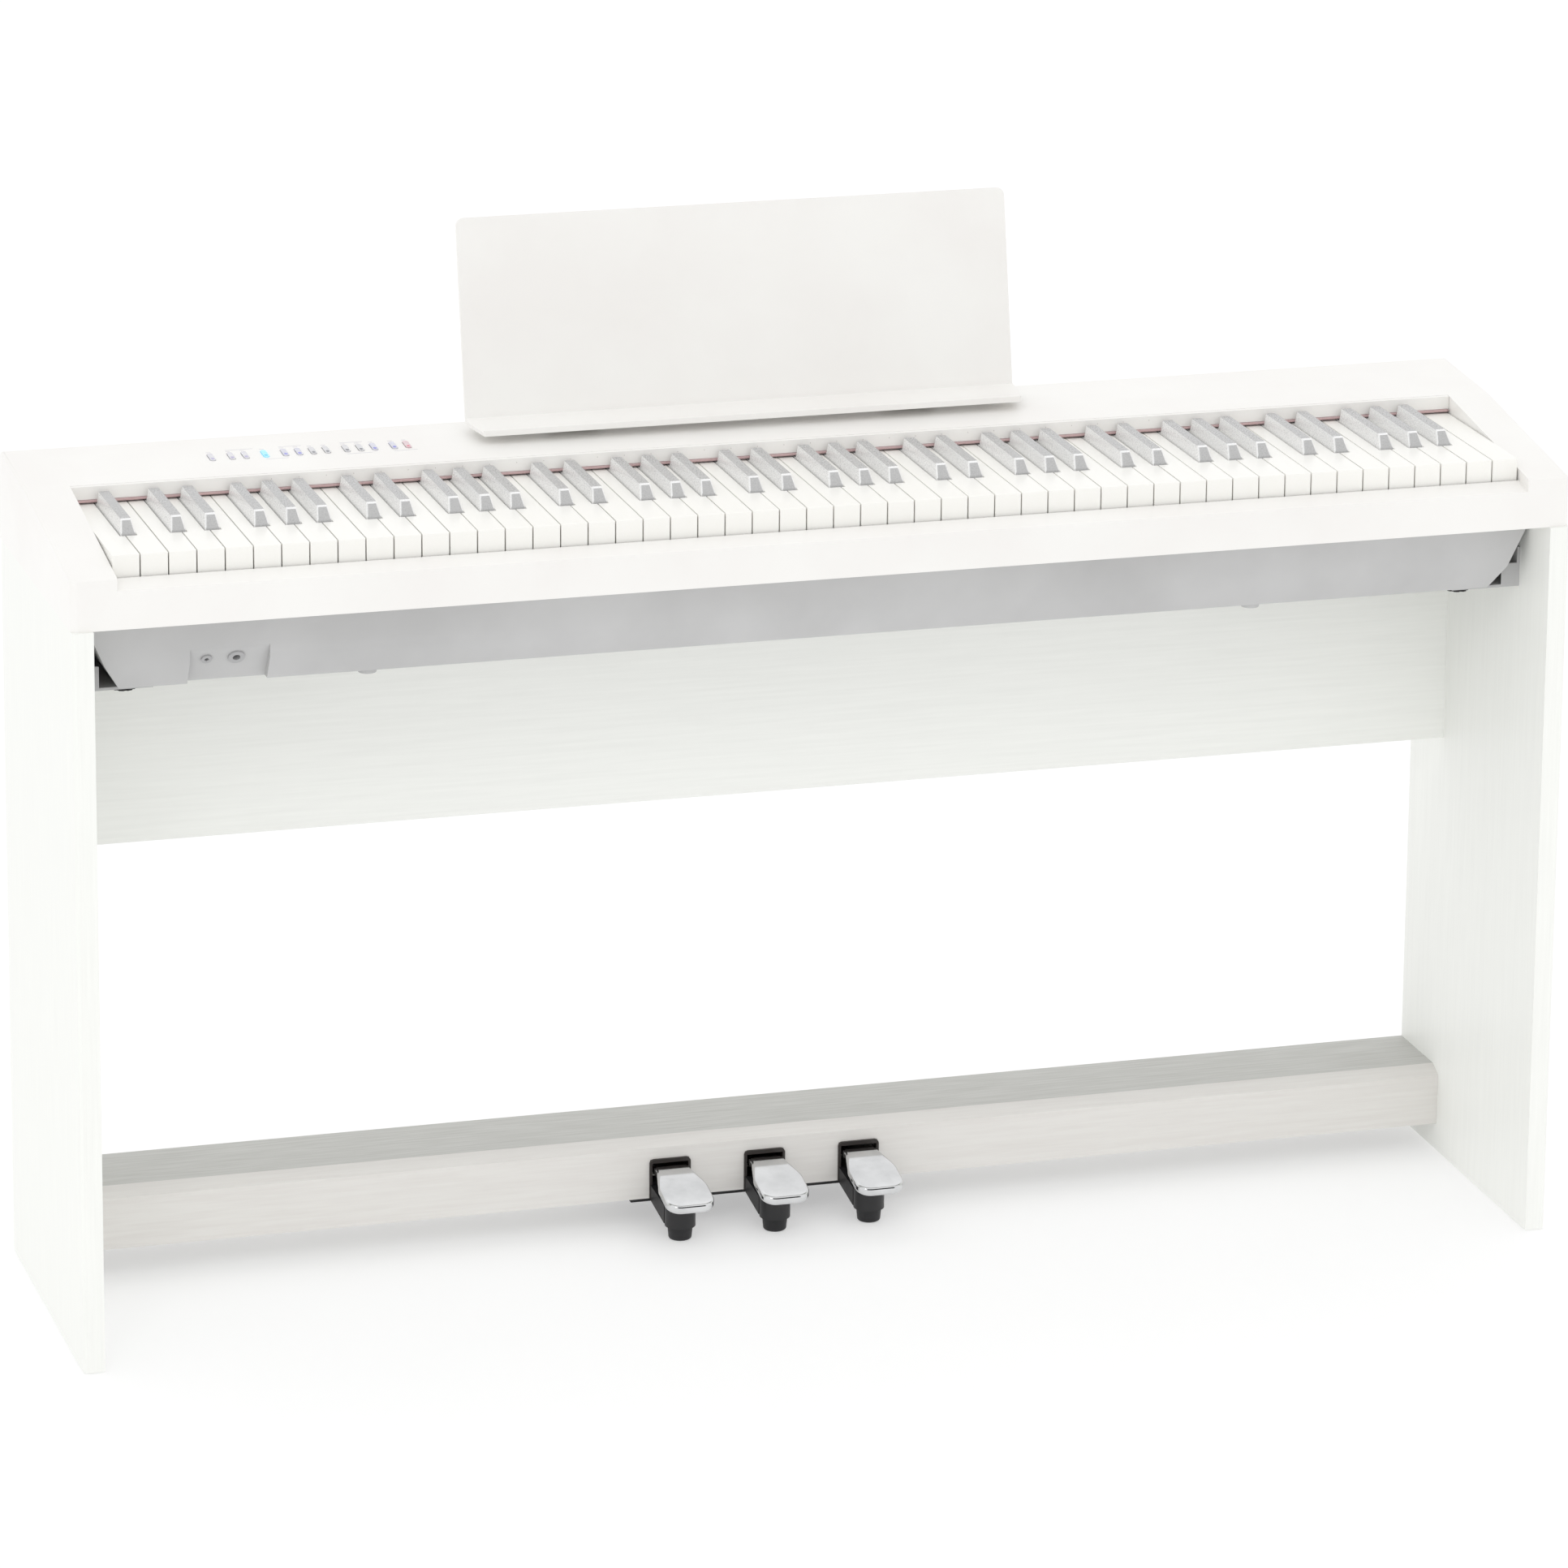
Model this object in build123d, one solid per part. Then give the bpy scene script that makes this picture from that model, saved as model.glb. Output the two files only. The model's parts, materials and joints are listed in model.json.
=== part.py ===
from build123d import *
import math
import os

# Digital piano on a panel stand, with a music rest and a three-pedal unit.
#
# Units are millimetres. X runs along the keyboard, from the bass end to the treble end, and Z is up
# from the floor. While the pieces are made, Y is measured from the front edge of the stand's side
# panels towards the back. save() then moves every piece, so that the origin is at the bottom centre
# of the whole object's box.

# ---------------------------------------------------------------- driving dimensions
LENGTH = 1300.0                 # piano and stand, end to end
CASE_BACK = 310.0               # foot of the case's back wall
WALL = 3.0                      # moulded walls of the piano

PANEL_T = 18.0                  # side panel thickness
PANEL_DEPTH = 306.0
PANEL_TOP = 638.0               # the white case sits on the panels here
GLIDE_H = 1.0                   # glides stand this far out of the panels
GLIDE_INSET = 30.0              # glide centre from a panel's front or back edge
GLIDE_R = 7.0
GLIDE_SPIKE_R = 1.95
PANEL_EDGE_R = 4.0

CASE_FRONT = 3.0
CASE_CORNER_R = 6.0
CASE_EDGE_R = 3.0
UNDERSIDE_HALF = 600.0          # opening in the white case's floor, over the chassis
UNDERSIDE_Y = (80.0, 270.0)
FRONT_TOP_Z = 681.5             # cheek height at the front
BEND_Y = 193.0                  # the top bends here, at the back of the key well
BEND_Z = 709.4
BACK_TOP_Y = 297.0
BACK_TOP_Z = 716.0

SLIP_BACK_Y = 25.0              # rail in front of the keys
SLIP_BACK_Z = 675.5
SLIP_FRONT_Z = 670.5
STRIP_LOW_Z = 697.6             # white strip at the back of the keys
STRIP_T = 3.0
FELT_LOW_Z = 694.9              # just clear of the sharps
FELT_FRONT_Y = BEND_Y - 5.2

KEY_PITCH = 23.5                # one white key
WHITE_COUNT = 52
KEY_GAP = 1.0
KEY_FRONT_Y = 27.0
KEY_TOP_Z = 694.0
KEY_H = 20.0
SHARP_FRONT_Y = 85.5
SHARP_BACK_Y = 186.0
SHARP_H = 11.5
SHARP_BASE_W = 12.6
SHARP_TOP_W = 8.6
SHARP_NOSE = 9.5                # run of the sharp's sloping front
SHARP_STEP = 0.5                # the sharp's wide base stands above the white keys
SHARP_SLOT_W = 14.2             # gap between the white tails beside a sharp
PIVOT_Y = 232.0
PIVOT_Z = 684.0
PIVOT_R = 2.0
KEY_TAIL_Y = 241.0
PIVOT_CLEAR = 0.06              # running clearance of a bore on its pin, on the radius
KEY_BED_Z = (650.0, 654.0)
KEY_BED_HALF = 609.0
KEY_BED_Y = (30.0, 204.0)
PIVOT_BED_HALF = 622.0          # the bed is wider behind, under the rod's uprights
PIVOT_BED_Y = (200.0, 250.0)
STOP_RAIL_Y = (40.0, 56.0)
STOP_RAIL_TOP = 660.0
UPRIGHT_T = 7.0
UPRIGHT_REACH = 9.0             # upright beyond the rod, front and back

CHASSIS_TOP = PANEL_TOP
CHASSIS_BOTTOM = 571.5
CREASE_Z = 592.5
CHASSIS_BACK = 300.0
CHASSIS_FRONT = (44.0, 48.0, 60.0)      # y at its top, at the crease and at the bottom
CHASSIS_HALF = (628.0, 613.0, 600.0)    # half length at the same three levels
CHASSIS_FLARE_Z = 626.0
RIB_Y = (104.0, 252.0)          # two ribs along the chassis carry the key bed
RIB_HALF = 590.0
SCREW_ROWS_Y = (72.0, 284.0)
SCREW_X = (-575.0, -300.0, 0.0, 300.0, 575.0)
SCREW_HEAD_Z = (624.5, 628.0)
SCREW_TIP_Z = 645.0
SCREW_HEAD_R = 3.6
SCREW_R = 1.8
SCREW_CORE_R = 1.9              # its hole
BOSS_R = 6.5
BOSS_WELL_R = 4.2
BOARD_LEVEL = 590.0             # main board on its four posts
MAIN_BOARD_X = (70.0, 310.0)
MAIN_BOARD_Y = (120.0, 230.0)
POST_R = 4.0
PCB_T = 1.6
CONTACT_Y = (100.0, 140.0)      # key contact board
DOME_Y = (112.0, 120.0)         # and the rubber domes along it
DOME_H = 4.0

SPEAKER_PLACES = ((-430.0, 178.0), (430.0, 178.0))
SLOT_PITCH = 7.2                # loudspeaker slots
SLOT_W = 3.2
SLOT_FIELD_R = 42.0
SOCKET_Z = 604.0
SOCKET_DEPTH = 18.0
SOCKETS = (                     # (x, width, height) of the power inlet, two data ports, pedal socket
    (-250.0, 14.0, 12.0),
    (-215.0, 13.0, 12.0),
    (-180.0, 15.0, 8.0),
    (-140.0, 13.0, 13.0),
)
JACK_LARGE_X = -503.0
JACK_SMALL_X = -528.0
JACK_LARGE = (3.2, 7.0, 5.1, 20.0)      # bore, ring and barrel radius, barrel length
JACK_SMALL = (1.8, 4.6, 3.3, 18.0)
JACK_ALONG = 0.34               # how far down the bay wall the jacks sit
JACK_BORE = 18.0
JACK_BORE_PAST = 3.2            # the bore tool runs out past the collar
FOOT_X = 388.0                  # rubber feet for use on a table
FOOT_ROWS_Y = (74.0, 268.0)
BAY_X = (-543.0, -476.0)        # headphone jack bay
BAY_TOP = (46.0, 606.0)         # (y, z) of the bay wall's top and bottom
BAY_BOTTOM = (70.0, 570.0)

BUTTON_GROUPS = (1, 2, 1, 4, 3, 2)
BUTTON_FIRST_X = -481.0
BUTTON_PITCH = 12.0
BUTTON_GROUP_GAP = 17.0
BUTTON_Y = 243.0
BUTTON_LEN = 18.0
BUTTON_W = 4.6
BUTTON_TALL = 8.0
BUTTON_PROUD = 0.9
BUTTON_GAP = 0.7                # the opening is this much longer and wider than its button

REST_X = -9.0                   # middle of the music rest
REST_W = 490.0
REST_T = 3.2
REST_FOOT = (270.0, 723.5)      # (y, z) where the plate meets its ledge
REST_RISE = 169.0
REST_LEAN = 11.0                # degrees
REST_LEDGE = 42.0
REST_TAB_X = 150.0
REST_TAB_W = 46.0
REST_TAB_DEEP = 17.0
REST_SLOT_GAP = 0.5
REST_CORNER_R = 7.0
REST_LEDGE_IN = 6.0             # the ledge's ends draw in by this much towards its front
REST_LEDGE_STRAIGHT = 0.35      # share of its depth before they do

BOARD_Y = 228.0
BOARD_T = 15.0
BOARD_Z = (385.0, 566.0)
BOLT_R = 3.45
BOLT_HOLE_R = 3.5
BOLT_REACH = 34.0               # end of the bolt hole, from the panel
DISC_R = 7.5
BOARD_BOLT_Z = (415.0, 535.0)
BEAM_BOLT_Y = 285.0
BEAM_END_T = 14.0               # solid ends of the beam
BRACKET_DROP = 2.5              # steel of the support brackets
BRACKET_Y = (66.0, 256.0)
BRACKET_LEG_TOP = 604.0
HAND_SCREW_X = 588.0
HAND_SCREW_Y = (100.0, 200.0)
HAND_SCREW_R = 3.2
KNOB_R = 10.0
KNOB_H = 9.0
KNOB_FLUTES = 8

BEAM_FRONT = 214.0
BEAM_BACK = 306.0
BEAM_BOTTOM = 26.0
BEAM_TOP = 79.0
BEAM_CHAMFER_Y = 14.0
BEAM_CHAMFER_Z = 7.0
BEAM_WALL = 9.0

PEDAL_SPACING = 86.0
PEDAL_PIVOT_Y = 286.0
PEDAL_PIVOT_Z = 52.0
PEDAL_PIN_R = 3.0
PEDAL_TIP_Y = 139.0
BEZEL_W = 37.0
BEZEL_T = 2.6                   # it stands this far out of the beam
BEZEL_LIP = 2.2                 # width of the frame beside its window
BEZEL_HEAD = 3.4                # and above it
BEZEL_SLEEVE = 1.0              # the sleeve is this much smaller than the face, all round
BEZEL_TOP = 62.0
FOOT_Y = 180.0
BASE_PLATE_HALF = 121.0
BASE_PLATE_T = 2.5
PADDLE_NECK = 15.4              # half width at the beam
PADDLE_WIDE = 22.0              # half width near the tip
PADDLE_WAIST_Y = BEAM_FRONT - 12
PADDLE_WIDE_Y = 172.0           # full width from here to the tip
PADDLE_CORNER_R = 13.0          # front corners, seen from above
PADDLE_FLARE_R = 30.0           # the two gentle bends along each side
PADDLE_ROOT_Y = BEAM_FRONT + 8
PADDLE_RIM_R = 3.0
LEVER_HALF = 9.0
LEVER_EYE_R = 7.0
LEVER_Z = (48.6, 56.0)
CHEEK_HALF = 12.6
BRACKET_BED_T = 5.0
ARM_FRONT_Y = BEAM_FRONT - 2.8  # the arm starts just in front of the bezel's face
ARM_NEAR = (36.0, 25.0, 39.0)   # width and z range at the bezel
ARM_FAR = (27.0, 13.0, 29.8)    # and at the foot column
COLUMN_R = 13.5
COLUMN_Z = (12.0, 29.8)         # the top stays clear of a pedal pressed right down
CHEEK_Y = (274.0, 297.0)
CHEEK_TOP = 62.0
STUD_R = 3.0
STUD_CLEAR = 0.1
SPRING_Y = 252.0
SPRING_WIRE_R = 0.9
SPRING_R = 6.0
SPRING_TURNS = 4

HALF = LENGTH / 2
PANEL_IN = HALF - PANEL_T       # inner face of a side panel
KEYS_HALF = KEY_PITCH * WHITE_COUNT / 2
WELL_HALF = KEYS_HALF + 0.6
TOP_SLOPE = (BACK_TOP_Z - BEND_Z) / (BACK_TOP_Y - BEND_Y)
TOP_ANGLE = math.degrees(math.atan(TOP_SLOPE))
PEDAL_X = (-PEDAL_SPACING, 0.0, PEDAL_SPACING)
ABOVE = 800.0                   # a level above everything, for cutting tools
SHARP_SHIFT = {"c_sharp": -2.5, "d_sharp": 2.5, "f_sharp": -3.3, "g_sharp": 0.0, "a_sharp": 2.6}
WHITE_ORDER = "abcdefg"         # the lowest key is an A


# ---------------------------------------------------------------- helpers
def save(name, solids):
    """Moves the pieces of one node to the final origin and writes them."""
    shift = Pos(0, -CASE_BACK / 2, 0)
    moved = [shift * s for s in solids]
    shape = moved[0] if len(moved) == 1 else Compound(children=moved)
    export_step(shape, f"parts/{name}.step")


def block(x0, x1, y0, y1, z0, z1):
    """A box given by its low and high corners."""
    centre = Pos((x0 + x1) / 2, (y0 + y1) / 2, (z0 + z1) / 2)
    return centre * Box(x1 - x0, y1 - y0, z1 - z0)


def prism_x(points, x0, x1):
    """A side profile of (y, z) points, drawn out along X."""
    face = make_face(Polyline(*points, close=True))
    return Plane.YZ.offset(x0) * extrude(face, amount=x1 - x0)


def prism_z(points, z0, z1):
    """A plan shape of (x, y) points, drawn out along Z."""
    face = make_face(Polyline(*points, close=True))
    return Plane.XY.offset(z0) * extrude(face, amount=z1 - z0)


def rod_x(radius, x0, x1, y, z):
    """A round bar along X."""
    return Pos((x0 + x1) / 2, y, z) * Rot(0, 90, 0) * Cylinder(radius, x1 - x0)


def rod_z(radius, x, y, z0, z1):
    """A round bar along Z."""
    return Pos(x, y, (z0 + z1) / 2) * Cylinder(radius, z1 - z0)


def both_sides(make):
    """The same piece at the bass end and, mirrored, at the treble end."""
    left = make()
    return [left, mirror(left, about=Plane.YZ)]


def top_z(y):
    """Height of the case's flat rear top surface."""
    return BEND_Z + TOP_SLOPE * (y - BEND_Y)


def on_top(x, y, down=0.0):
    """A frame on the rear top surface, its Z square to the surface, a distance below it."""
    return Pos(x, y, top_z(y)) * Rot(TOP_ANGLE, 0, 0) * Pos(0, 0, -down)


def button_places():
    """The X of each control button, group by group."""
    x = BUTTON_FIRST_X
    places = []
    for count in BUTTON_GROUPS:
        for i in range(count):
            places.append(x + i * BUTTON_PITCH)
        x = places[-1] + BUTTON_GROUP_GAP
    return places


def pill(length, width, height):
    """An upright slot shape, long in Y."""
    return extrude(Rot(0, 0, 90) * SlotOverall(length, width), amount=height)


# ---------------------------------------------------------------- piano case
def top_profile(inset, low):
    """Side outline of the white case, inset from its outer skin, down to a level."""
    back_slope = (CASE_BACK - BACK_TOP_Y) / (BACK_TOP_Z - PANEL_TOP)
    back_top = BACK_TOP_Y - inset
    back_low = back_top + back_slope * (BACK_TOP_Z - low)
    return [
        (CASE_FRONT + inset, low),
        (CASE_FRONT + inset, FRONT_TOP_Z - inset),
        (BEND_Y, BEND_Z - inset),
        (back_top, BACK_TOP_Z - inset),
        (back_low, low),
    ]


def outer_shell():
    """The white case as a solid lump, with its front corners and top edges rounded."""
    body = prism_x(top_profile(0, PANEL_TOP), -HALF, HALF)
    upright = body.edges().filter_by(Axis.Z).group_by(Axis.Y)[0]
    body = fillet(upright, CASE_CORNER_R)
    tops = [e for e in body.edges() if e.center().Z > FRONT_TOP_Z - 2 and not is_bend(e)]
    return fillet(tops, CASE_EDGE_R)


def is_bend(edge):
    """True for the shallow bend line across the top, which stays unrounded."""
    middle = edge.center()
    return abs(middle.Y - BEND_Y) < 1 and abs(middle.X) < 1


def case_hollow():
    """Everything taken out of the white case: key well, inner spaces and underside opening."""
    floor = PANEL_TOP + WALL
    roof = top_profile(WALL, floor)
    well = [(SLIP_BACK_Y, floor), (SLIP_BACK_Y, ABOVE), (BEND_Y, ABOVE), (BEND_Y, BEND_Z - WALL)]
    well += roof[3:]
    rail_slope = (SLIP_BACK_Z - SLIP_FRONT_Z) / (SLIP_BACK_Y - CASE_FRONT)
    rail_y = (CASE_FRONT + WALL, SLIP_BACK_Y - WALL)
    rail = [
        (rail_y[0], floor),
        (rail_y[0], SLIP_FRONT_Z - WALL),
        (rail_y[1], SLIP_BACK_Z - WALL - rail_slope * WALL),
        (rail_y[1], floor),
    ]
    above_rail = [
        (CASE_FRONT - 5, SLIP_FRONT_Z - 5 * rail_slope),
        (CASE_FRONT - 5, ABOVE),
        (SLIP_BACK_Y + 1, ABOVE),
        (SLIP_BACK_Y + 1, SLIP_BACK_Z),
    ]
    inner = WELL_HALF + WALL
    cuts = [
        prism_x(well, -WELL_HALF, WELL_HALF),
        prism_x(rail, -WELL_HALF, WELL_HALF),
        prism_x(above_rail, -WELL_HALF, WELL_HALF),
        block(-UNDERSIDE_HALF, UNDERSIDE_HALF, *UNDERSIDE_Y, PANEL_TOP - 1, floor + 1),
    ]
    for side in (-1, 1):
        ends = sorted((side * inner, side * (HALF - WALL)))
        cuts.append(prism_x(roof, *ends))
        gap = sorted((side * (WELL_HALF - 1), side * (inner + 1)))
        cuts.append(block(*gap, BEND_Y + WALL, CASE_BACK - 9, floor, BEND_Z - WALL))
    return cuts


def screw_places():
    """Case screws: a row along the front and a row along the back."""
    return [(x, y) for y in SCREW_ROWS_Y for x in SCREW_X]


def upper_case():
    body = outer_shell()
    for cut in case_hollow():
        body -= cut
    for x in button_places():
        body -= on_top(x, BUTTON_Y, 20) * pill(BUTTON_LEN + BUTTON_GAP, BUTTON_W + BUTTON_GAP, 40)
    for side in (-1, 1):
        body -= rest_tab(side, REST_SLOT_GAP, 40)
    for x, y in screw_places():
        body -= rod_z(SCREW_CORE_R, x, y, PANEL_TOP - 1, PANEL_TOP + WALL + 1)
    return body


def end_profile(inset):
    """Outline of the dark chassis seen from the front, as (x, z) points."""
    wide, middle, narrow = [half - inset for half in CHASSIS_HALF]
    low = CHASSIS_BOTTOM + inset
    right = [(narrow, low), (middle, CREASE_Z), (wide, CHASSIS_FLARE_Z), (wide, CHASSIS_TOP)]
    left = [(-x, z) for x, z in reversed(right)]
    return right + left


def side_profile(inset):
    """Outline of the dark chassis seen from the end, as (y, z) points."""
    low = CHASSIS_BOTTOM + inset
    return [
        (CHASSIS_FRONT[0] + inset, CHASSIS_TOP),
        (CHASSIS_FRONT[1] + inset, CREASE_Z),
        (CHASSIS_FRONT[2] + inset, low),
        (CHASSIS_BACK - 6 - inset, low),
        (CHASSIS_BACK - inset, low + 8),
        (CHASSIS_BACK - inset, CHASSIS_TOP),
    ]


def chassis_lump(inset):
    """The chassis outline as a solid: the side outline and the end outline together."""
    long_way = prism_x(side_profile(inset), -HALF, HALF)
    face = make_face(Polyline(*end_profile(inset), close=True))
    cross_way = Plane.XZ.offset(-400) * extrude(face, amount=400)
    return long_way & cross_way


def bay_lump(grow):
    """The jack bay, as the solid that is cut out, or as its lining."""
    points = [
        (30.0, BAY_TOP[1] + grow),
        (BAY_TOP[0] + grow, BAY_TOP[1] + grow),
        (BAY_BOTTOM[0] + grow, BAY_BOTTOM[1]),
        (30.0, BAY_BOTTOM[1]),
    ]
    return prism_x(points, BAY_X[0] - grow, BAY_X[1] + grow)


def jack_frame(x):
    """A frame on the bay wall, part of the way down it, with Z pointing out of the wall."""
    y = BAY_TOP[0] + JACK_ALONG * (BAY_BOTTOM[0] - BAY_TOP[0])
    z = BAY_TOP[1] + JACK_ALONG * (BAY_BOTTOM[1] - BAY_TOP[1])
    tilt = math.degrees(math.atan2(BAY_TOP[1] - BAY_BOTTOM[1], BAY_BOTTOM[0] - BAY_TOP[0]))
    return Pos(x, y, z) * Rot(180 - tilt, 0, 0)


def grille_slots(x, y):
    """Slots in the chassis floor below a loudspeaker."""
    slots = []
    for i in range(-5, 6):
        across = math.sqrt(SLOT_FIELD_R ** 2 - (SLOT_PITCH * i) ** 2)
        slots.append(Pos(x, y + SLOT_PITCH * i, CHASSIS_BOTTOM) * Box(2 * across, SLOT_W, 3 * WALL))
    return slots


def lower_case():
    body = chassis_lump(0)
    hollow = chassis_lump(WALL) + block(-620, 620, 50, 295, CHASSIS_TOP - 4, CHASSIS_TOP + 4)
    lining = bay_lump(WALL) & chassis_lump(0)
    body -= hollow - lining
    body -= bay_lump(0)
    floor = CHASSIS_BOTTOM + WALL
    for y in RIB_Y:
        body += block(-RIB_HALF, RIB_HALF, y, y + WALL, floor - 1, KEY_BED_Z[0])
    for x, y in screw_places():
        body += rod_z(BOSS_R, x, y, floor - 1, CHASSIS_TOP)
    for x in (MAIN_BOARD_X[0] + 20, MAIN_BOARD_X[1] - 20):
        for y in (MAIN_BOARD_Y[0] + 15, MAIN_BOARD_Y[1] - 15):
            body += rod_z(POST_R, x, y, floor - 1, BOARD_LEVEL)
    return lower_case_holes(body)


def lower_case_holes(body):
    """Screw wells, jack and socket holes, loudspeaker slots and hand screw holes."""
    for x, y in screw_places():
        body -= rod_z(BOSS_WELL_R, x, y, CHASSIS_BOTTOM - 1, SCREW_HEAD_Z[1])
        body -= rod_z(SCREW_CORE_R, x, y, SCREW_HEAD_Z[0], CHASSIS_TOP + 1)
    body -= jack_frame(JACK_LARGE_X) * Cylinder(JACK_LARGE[2] + 0.1, 20)
    body -= jack_frame(JACK_SMALL_X) * Cylinder(JACK_SMALL[2] + 0.1, 20)
    for x, y in SPEAKER_PLACES:
        for slot in grille_slots(x, y):
            body -= slot
    for x, width, height in SOCKETS:
        low, high = SOCKET_Z - height / 2, SOCKET_Z + height / 2
        body -= block(x - width / 2, x + width / 2, CHASSIS_BACK - 10, CHASSIS_BACK + 5, low, high)
    for x, y in hand_screw_places():
        body -= rod_z(HAND_SCREW_R + 0.1, x, y, CHASSIS_BOTTOM - 1, CHASSIS_BOTTOM + WALL + 1)
    return body


def fallboard_strip():
    """White strip across the back of the key well."""
    profile = [
        (BEND_Y - STRIP_T, STRIP_LOW_Z),
        (BEND_Y - STRIP_T, BEND_Z - 0.6),
        (BEND_Y - 0.2, BEND_Z - 0.2),
        (BEND_Y - 0.2, STRIP_LOW_Z),
    ]
    return prism_x(profile, -WELL_HALF + 0.2, WELL_HALF - 0.2)


def felt_strip():
    """Red felt between the strip and the keys."""
    return block(-KEYS_HALF, KEYS_HALF, FELT_FRONT_Y, BEND_Y - 0.4, FELT_LOW_Z, STRIP_LOW_Z - 0.1)


def key_frame():
    """Steel bed under the keys, with a front stop rail and two uprights for the pivot rod."""
    inside = KEY_BED_Z[1] - 1
    body = block(-KEY_BED_HALF, KEY_BED_HALF, *KEY_BED_Y, *KEY_BED_Z)
    body += block(-PIVOT_BED_HALF, PIVOT_BED_HALF, *PIVOT_BED_Y, *KEY_BED_Z)
    body += block(-KEY_BED_HALF, KEY_BED_HALF, *STOP_RAIL_Y, inside, STOP_RAIL_TOP)
    front, back = PIVOT_Y - UPRIGHT_REACH, PIVOT_Y + UPRIGHT_REACH
    for x0 in (-PIVOT_BED_HALF, PIVOT_BED_HALF - UPRIGHT_T):
        upright = block(x0, x0 + UPRIGHT_T, front, back, inside, PIVOT_Z + UPRIGHT_T)
        body += upright - rod_x(PIVOT_R, x0 - 1, x0 + UPRIGHT_T + 1, PIVOT_Y, PIVOT_Z)
    return body


# ---------------------------------------------------------------- keys
def white_left(index):
    """Left boundary of a white key, counted from the bass end."""
    return -KEYS_HALF + KEY_PITCH * index


def sharp_after(index):
    """Name of the sharp to the right of a white key, or None."""
    name = WHITE_ORDER[index % 7] + "_sharp"
    if name in SHARP_SHIFT and index < WHITE_COUNT - 1:
        return name
    return None


def sharp_x(index):
    """Middle of the sharp to the right of a white key."""
    return white_left(index + 1) + SHARP_SHIFT[sharp_after(index)]


def white_key(index):
    left = white_left(index) + KEY_GAP / 2
    right = left + KEY_PITCH - KEY_GAP
    tail_left = left
    tail_right = right
    if index and sharp_after(index - 1):
        tail_left = sharp_x(index - 1) + SHARP_SLOT_W / 2
    if sharp_after(index):
        tail_right = sharp_x(index) - SHARP_SLOT_W / 2
    notch_y = SHARP_FRONT_Y - 1.4
    plan = [(left, KEY_FRONT_Y), (left, notch_y)]
    if tail_left > left:
        plan.append((tail_left, notch_y))
    plan += [(tail_left, KEY_TAIL_Y), (tail_right, KEY_TAIL_Y)]
    if tail_right < right:
        plan.append((tail_right, notch_y))
    plan += [(right, notch_y), (right, KEY_FRONT_Y)]
    key = prism_z(plan, KEY_TOP_Z - KEY_H, KEY_TOP_Z)
    return key - rod_x(PIVOT_R + PIVOT_CLEAR, left - 1, right + 1, PIVOT_Y, PIVOT_Z)


def sharp_layer(x, width, front_y, z):
    """A rectangle across a sharp at one level, for its lofted cap."""
    middle = Pos(x, (front_y + SHARP_BACK_Y) / 2)
    return Plane.XY.offset(z) * middle * Rectangle(width, SHARP_BACK_Y - front_y)


def black_key(index):
    x = sharp_x(index)
    half = SHARP_BASE_W / 2
    base_top = KEY_TOP_Z + SHARP_STEP
    base = block(x - half, x + half, SHARP_FRONT_Y, KEY_TAIL_Y, KEY_TOP_Z - KEY_H, base_top)
    foot = sharp_layer(x, SHARP_BASE_W, SHARP_FRONT_Y, base_top)
    crown = sharp_layer(x, SHARP_TOP_W, SHARP_FRONT_Y + SHARP_NOSE, KEY_TOP_Z + SHARP_H)
    key = base + loft([foot, crown])
    return key - rod_x(PIVOT_R + PIVOT_CLEAR, x - half - 1, x + half + 1, PIVOT_Y, PIVOT_Z)


def key_groups():
    """All the keys of one note name, such as every C, as one node each."""
    groups = {}
    for index in range(WHITE_COUNT):
        name = WHITE_ORDER[index % 7]
        groups.setdefault("keys_" + name, []).append(white_key(index))
        sharp = sharp_after(index)
        if sharp:
            groups.setdefault("keys_" + sharp, []).append(black_key(index))
    return groups


# ---------------------------------------------------------------- controls and electronics
def button(x):
    """A small clear push button, standing a little out of the top."""
    cap = pill(BUTTON_LEN, BUTTON_W, BUTTON_TALL)
    return on_top(x, BUTTON_Y, BUTTON_TALL - BUTTON_PROUD) * cap


def panel_board():
    """Circuit board under the buttons."""
    first = button_places()[0]
    last = button_places()[-1]
    middle = on_top((first + last) / 2, BUTTON_Y, BUTTON_TALL + 2.4)
    return middle * Box(last - first + 24, 34, PCB_T)


def main_board():
    return block(*MAIN_BOARD_X, *MAIN_BOARD_Y, BOARD_LEVEL, BOARD_LEVEL + PCB_T)


def contact_board():
    """Long key contact board on the key bed, with its row of rubber domes."""
    half = KEY_BED_HALF - 4
    bed = KEY_BED_Z[1]
    board = block(-half, half, *CONTACT_Y, bed, bed + PCB_T)
    return board + block(-half, half, *DOME_Y, bed + 1, bed + DOME_H)


def phone_jack(frame, hole, ring, body_r, body_len):
    """A headphone jack: a barrel behind the bay wall and a ring on its face."""
    barrel = frame * Pos(0, 0, -body_len / 2 + 0.4) * Cylinder(body_r, body_len)
    collar = frame * Pos(0, 0, 0.8) * Cylinder(ring, 1.6)
    bore = frame * Pos(0, 0, JACK_BORE_PAST - JACK_BORE / 2) * Cylinder(hole, JACK_BORE)
    return barrel + collar - bore


def socket_shell(x, width, height):
    """A rear socket in the chassis wall, its face flush with the wall."""
    half_w = width / 2 - 0.2
    half_h = height / 2 - 0.2
    front = CHASSIS_BACK - SOCKET_DEPTH
    return block(x - half_w, x + half_w, front, CHASSIS_BACK, SOCKET_Z - half_h, SOCKET_Z + half_h)


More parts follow.
